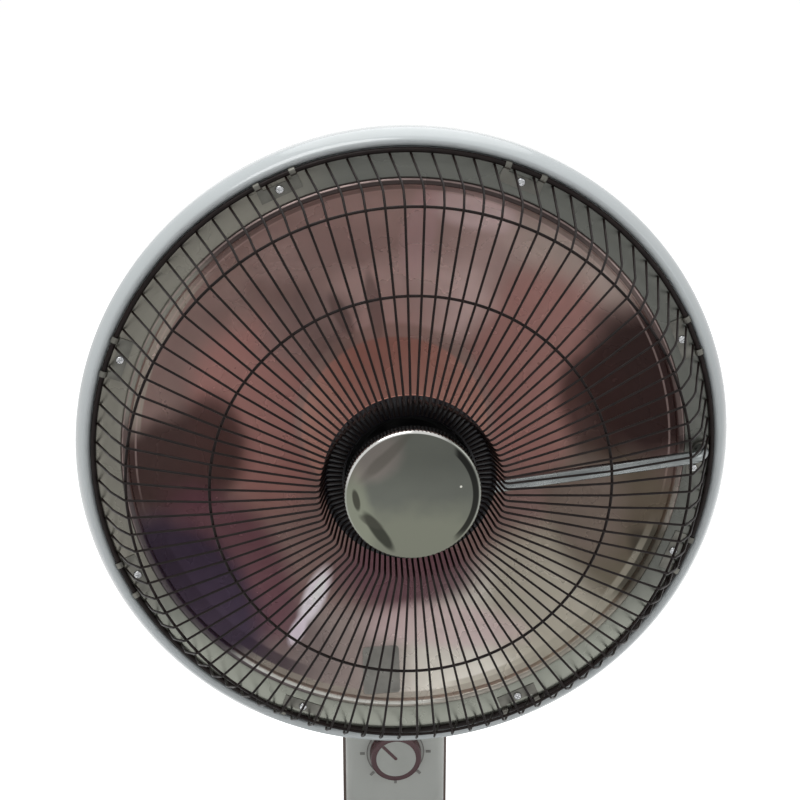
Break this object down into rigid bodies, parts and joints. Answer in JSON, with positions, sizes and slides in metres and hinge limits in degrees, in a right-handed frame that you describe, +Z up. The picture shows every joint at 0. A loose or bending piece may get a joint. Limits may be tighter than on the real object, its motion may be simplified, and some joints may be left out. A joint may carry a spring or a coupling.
{
  "type": "parabolic heater",
  "caption": "Round dish heater with a mirror reflector behind a radial wire guard, tilting on a swinging pillar with a rotary dial, on a round weighted base.",
  "frame": {"origin": "middle of the base at the floor, under the middle of the whole part", "axes": "+Z up, the front of the dish faces -Y, +X to the right seen from the front"},
  "size_m": [0.3971, 0.336, 0.6386],
  "materials": {
    "white_shell": "gloss",
    "grey_cover": "satin",
    "brown_strip": "satin",
    "wine_plastic": "gloss",
    "pale_plastic": "satin",
    "scale_print": "matt",
    "black_plastic": "satin",
    "nylon": "satin",
    "red_plastic": "satin",
    "feet_rubber": "matt",
    "zinc_steel": "satin",
    "screw_steel": "gloss",
    "guard_paint": "satin",
    "cup_paint": "matt",
    "dish_metal": "mirror bright",
    "cap_chrome": "mirror bright",
    "weight_iron": "matt",
    "salmon_ceramic": "matt",
    "block_ceramic": "matt",
    "element_wire": "oxidised",
    "fibre_washer": "matt"
  },
  "bodies": {
    "base": {"base_cover": "white_shell", "base_plate": "zinc_steel", "ballast": "weight_iron", "ballast_screws": "screw_steel", "base_feet": "feet_rubber", "base_screws": "screw_steel", "swing_bush": "nylon", "swing_motor": "zinc_steel", "motor_screws": "screw_steel", "tip_holder": "black_plastic", "tip_switch": "black_plastic", "cord_gland": "black_plastic"},
    "pinion": {"motor_shaft": "zinc_steel", "swing_pinion": "nylon"},
    "plunger": {"tip_plunger": "red_plastic"},
    "pillar": {"pillar_foot": "white_shell", "swing_gear": "nylon", "gear_screws": "screw_steel", "pillar_frame": "zinc_steel", "frame_screws": "screw_steel", "pillar_front": "grey_cover", "pillar_rear": "grey_cover", "pillar_trim": "brown_strip", "pillar_screws": "screw_steel", "control_switch": "black_plastic", "switch_nut": "zinc_steel", "dial_scale": "scale_print", "swing_switch": "black_plastic", "tilt_pin": "screw_steel", "tilt_nut": "screw_steel", "friction_washers": "fibre_washer"},
    "dial": {"dial_shaft": "zinc_steel", "dial_knob": "wine_plastic", "dial_face": "pale_plastic"},
    "button": {"swing_button": "pale_plastic"},
    "head": {"tilt_bracket": "zinc_steel", "bracket_screws": "screw_steel", "rear_shell": "white_shell", "shell_screws": "screw_steel", "head_rim": "white_shell", "reflector_dish": "dish_metal", "guard_rings": "guard_paint", "guard_wires": "guard_paint", "guard_clips": "zinc_steel", "clip_screws": "screw_steel", "hub_plate": "cup_paint", "hub_cup": "cup_paint", "centre_cap": "cap_chrome", "cap_stem": "zinc_steel", "emitter_shell": "salmon_ceramic", "element_core": "salmon_ceramic", "heater_coil": "element_wire", "coil_terminals": "zinc_steel", "lead_tube": "cap_chrome", "tube_bracket": "zinc_steel", "tube_screw": "screw_steel", "terminal_block": "block_ceramic", "thermal_cutout": "zinc_steel"}
  },
  "joints": [
    {"name": "swing", "type": "hinge", "parent": "base", "child": "pillar", "pos_m": [0, 0.04, 0.03], "axis": [0, 0, 1], "range_deg": [-35, 35]},
    {"name": "pinion_spin", "type": "hinge", "parent": "base", "child": "pinion", "pos_m": [0, -0.01435, 0.03], "axis": [0, 0, 1], "range_deg": [-101, 101]},
    {"name": "plunger_drop", "type": "slide", "parent": "base", "child": "plunger", "axis": [0, 0, 1], "range_m": [-0.006, 0], "stiffness_N_per_m": 50, "springref_m": -0.008},
    {"name": "head_tilt", "type": "hinge", "parent": "pillar", "child": "head", "pos_m": [0, 0.05, 0.41], "axis": [1, 0, 0], "range_deg": [-20, 10]},
    {"name": "dial_turn", "type": "hinge", "parent": "pillar", "child": "dial", "pos_m": [0, 0.012, 0.167], "axis": [0, 1, 0], "range_deg": [0, 270]},
    {"name": "swing_press", "type": "slide", "parent": "pillar", "child": "button", "axis": [0, 1, 0], "range_m": [0, 0.003], "stiffness_N_per_m": 300, "springref_m": -0.002}
  ],
  "couplings": [
    {"joint": "pinion_spin", "follows": "swing", "ratio": -2.875}
  ]
}
